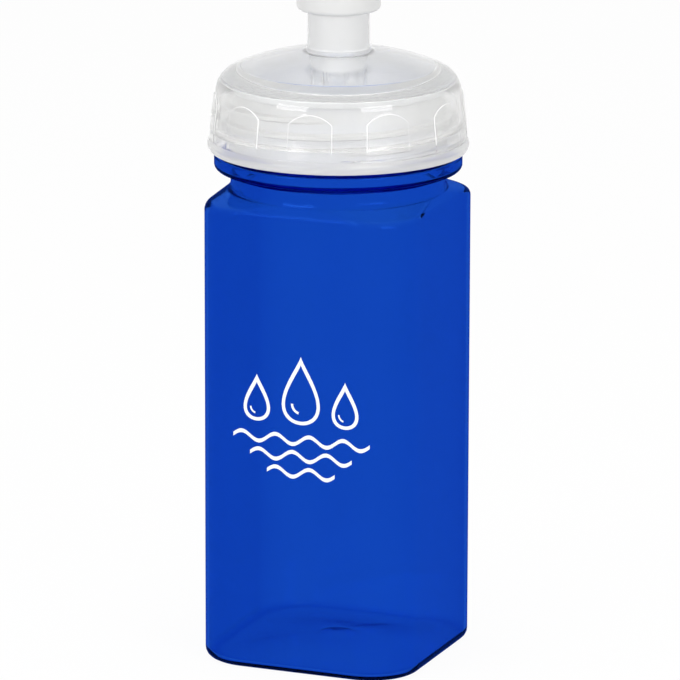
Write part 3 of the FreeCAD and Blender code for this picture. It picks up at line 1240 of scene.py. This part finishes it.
@dataclass
class Studio:
    """Camera, soft lights, pale floor and white surroundings."""

    target_height: float = 87.9 * MM
    azimuth: float = math.radians(22.2)
    elevation: float = math.radians(13.96)
    distance: float = 1682.7 * MM
    focal_pixels: float = 6080.0
    axis_pixel: float = 337.87
    roll: float = math.radians(0.14)
    sensor: float = 36.0
    ambient: float = 0.52
    softbox_distance: float = 0.9
    softbox_size: tuple[float, float] = (0.46, 0.32)
    softbox_power: float = 2.2
    softbox_elevation: float = math.radians(20.0)
    softboxes: tuple[tuple[str, float], ...] = (("left_softbox", math.radians(-44.0)),
                                                ("right_softbox", math.radians(36.0)))
    overhead_height: float = 1.3
    overhead_size: float = 1.0
    overhead_power: float = 7.5
    floor_size: float = 4.0
    floor_drop: float = 0.02 * MM
    floor_shades: tuple[float, float] = (0.90, 0.93)
    floor_glow: float = 0.95
    bounces: int = 24

    def towards(self, azimuth: float, elevation: float) -> Vector:
        """Direction from the object at an azimuth and elevation."""
        level = math.cos(elevation)
        return Vector((math.sin(azimuth) * level, -math.cos(azimuth) * level, math.sin(elevation)))

    def camera(self) -> None:
        """Makes the camera at the photograph's viewing angle."""
        data = bpy.data.cameras.new("camera")
        data.sensor_width = self.sensor
        data.lens = self.sensor * self.focal_pixels / IMAGE_SIDE
        data.shift_x = (IMAGE_SIDE / 2 - self.axis_pixel) / IMAGE_SIDE
        camera = add_object("camera", data)
        back = self.towards(self.azimuth, self.elevation)
        camera.rotation_mode = "QUATERNION"
        camera.rotation_quaternion = Quaternion(back, self.roll) @ (-back).to_track_quat("-Z", "Y")
        camera.location = UP * self.target_height + back * self.distance
        bpy.context.scene.camera = camera

    def softbox(self, name: str, azimuth: float) -> None:
        """Makes one soft light that faces the object.

        Args:
            name: The light's name.
            azimuth: Its plan angle from the camera's.
        """
        data = bpy.data.lights.new(name, "AREA")
        data.shape = "RECTANGLE"
        data.size, data.size_y = self.softbox_size
        data.energy = self.softbox_power
        light = add_object(name, data)
        out = self.towards(self.azimuth + azimuth, self.softbox_elevation)
        light.rotation_mode = "QUATERNION"
        light.rotation_quaternion = (-out).to_track_quat("-Z", "Y")
        light.location = UP * self.target_height + out * self.softbox_distance

    def overhead(self) -> None:
        """Makes the wide light above that whitens the floor and the top."""
        data = bpy.data.lights.new("overhead", "AREA")
        data.size = self.overhead_size
        data.energy = self.overhead_power
        light = add_object("overhead", data)
        light.location.z = self.overhead_height
        light.visible_glossy = False

    def seen_directly(self, nodes: Nodes) -> NodeSocket:
        """Tells rays that see a surface directly from the rest.

        Args:
            nodes: The tree it is worked out in.

        Returns:
            1 for rays from the camera, mirror reflections and glass, and 0 for the rest.
        """
        path = nodes.add("LightPath")
        seen = nodes.math("MAXIMUM", path.outputs["Is Camera Ray"], path.outputs["Is Glossy Ray"])
        return nodes.math("MAXIMUM", seen, path.outputs["Is Transmission Ray"])

    def world(self) -> None:
        """White surroundings that light the object softly."""
        world = bpy.data.worlds.new("studio")
        world.use_nodes = True
        world.node_tree.nodes.clear()
        nodes = Nodes(world.node_tree)
        seen = self.seen_directly(nodes)
        strength = nodes.add("MapRange", {"Value": seen, "To Min": self.ambient, "To Max": 1.0})
        background = nodes.add("Background", {"Color": (1, 1, 1, 1), "Strength": strength.outputs[0]})
        nodes.add("OutputWorld", {"Surface": background.outputs[0]})
        bpy.context.scene.world = world

    def floor(self) -> None:
        """Pale floor that keeps the object's shadow and is white where nothing shades it."""
        bm = bmesh.new()
        bmesh.ops.create_grid(bm, x_segments=8, y_segments=8, size=self.floor_size)
        floor = mesh_object(bm, "floor")
        floor.location.z = -self.floor_drop
        material, nodes = new_material("pale_floor")
        place = nodes.add("TexCoord").outputs["Object"]
        mottle = nodes.add("TexNoise", {"Vector": place, "Scale": 30.0, "Detail": 2.0})
        low, high = self.floor_shades
        shade = nodes.add("MapRange", {"Value": mottle.outputs["Fac"], "To Min": low, "To Max": high})
        matt = nodes.add("BsdfDiffuse", {"Color": shade.outputs[0]})
        glow = nodes.add("Emission", {"Color": (1, 1, 1, 1), "Strength": 1.0})
        share = nodes.math("MULTIPLY", self.seen_directly(nodes), self.floor_glow)
        mixed = nodes.add("MixShader", {0: share, 1: matt.outputs[0], 2: glow.outputs[0]})
        nodes.add("OutputMaterial", {"Surface": mixed.outputs[0]})
        floor.data.materials.append(material)
        floor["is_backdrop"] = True

    def build(self) -> None:
        """Sets up the whole studio."""
        self.camera()
        for name, azimuth in self.softboxes:
            self.softbox(name, azimuth)
        self.overhead()
        self.world()
        self.floor()
        scene = bpy.context.scene
        scene.view_settings.view_transform = "Standard"
        cycles = scene.cycles
        cycles.max_bounces = cycles.transmission_bounces = cycles.glossy_bounces = self.bounces


def write_sizes() -> None:
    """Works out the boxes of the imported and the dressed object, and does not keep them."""
    boxes = {"cad": cad_box, "visual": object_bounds()}
    {name: [list(corner) for corner in box] for name, box in boxes.items()}


BLUE = TintedClear("tinted_blue", (0.423, 0.638, 0.893), (0.0, 0.453, 0.860), 1000.0, (0.01, 0.05, 0.4),
                   (0.75, 0.85, 0.98))
PALE = Plastic("pale_neck", (0.86, 0.86, 0.855), 0.1, 0.18, transmission=0.45)
# Lighter copy of the neck's plastic for its inside: painted light for the dim inside of the lid.
NECK_INSIDE_PAINTED_LIGHT = Plastic("neck_inside_painted_light", (1.0, 0.985, 0.95), 0.1, 0.18, transmission=0.25)
POLISHED = Plastic("polished_lid", (0.985, 0.985, 0.98), 0.04, 0.08, transmission=0.78, lamp_share=0.96)
ETCHED = Plastic("etched_underside", (0.985, 0.985, 0.98), 0.1, 0.16, transmission=0.96, lamp_share=1.0)
# Milky finish: the chimney's own whiter look, and on the grips' edges a painted highlight.
MILKY_AND_EDGE_HIGHLIGHT = Plastic("milky_chimney_and_edge_highlight", (0.98, 0.982, 0.98), 0.1, 0.18, transmission=0.25)
# Dark grey copy of the lid's plastic for the seat: painted shade.
SEAT_PAINTED_SHADE = Plastic("seat_painted_shade", (0.44, 0.44, 0.435), 0.2, 0.28, transmission=0.2)
# The lid's plastic darkened for the roll at the foot: painted shade.
FROSTED = Plastic("frosted_roll_painted_shade", (0.8, 0.8, 0.8), 0.1, 0.16, transmission=0.45)
SEAL = Plastic("pale_seal", (0.55, 0.56, 0.57), 0.5, 0.6, shade_amount=0.06, ripple=0.02, subsurface=0.3)
WHITE = Plastic("white_spout", (0.75, 0.75, 0.745), 0.3, 0.4, shade_amount=0.06, ripple=0.02, subsurface=0.4)
INK = Plastic("white_ink", (0.9, 0.92, 0.95), 0.45, 0.6, shade_amount=0.06, ripple=0.02)
LID_FINISHES = {LidPart.OUTSIDE: POLISHED, LidPart.UNDERSIDE: ETCHED, LidPart.CHIMNEY_AND_EDGE_HIGHLIGHT: MILKY_AND_EDGE_HIGHLIGHT,
                LidPart.SEAT: SEAT_PAINTED_SHADE, LidPart.ROLL: FROSTED}


def main() -> None:
    """Builds the sub-assemblies in order, then the studio."""
    logging.basicConfig(level=logging.INFO, format="%(name)s: %(message)s")
    effects = Effects()
    thread = Thread()
    lid = ScrewLid()
    body = BottleBody()
    body.dress(thread, effects, BLUE, PALE, NECK_INSIDE_PAINTED_LIGHT)
    FrontPrint(body).dress(effects, INK)
    SealRing().dress(effects, SEAL)
    lid.dress(thread, effects, LID_FINISHES)
    PullSpout().dress(lid, effects, WHITE)
    Studio().build()
    write_sizes()


if __name__ == "__main__":
    main()
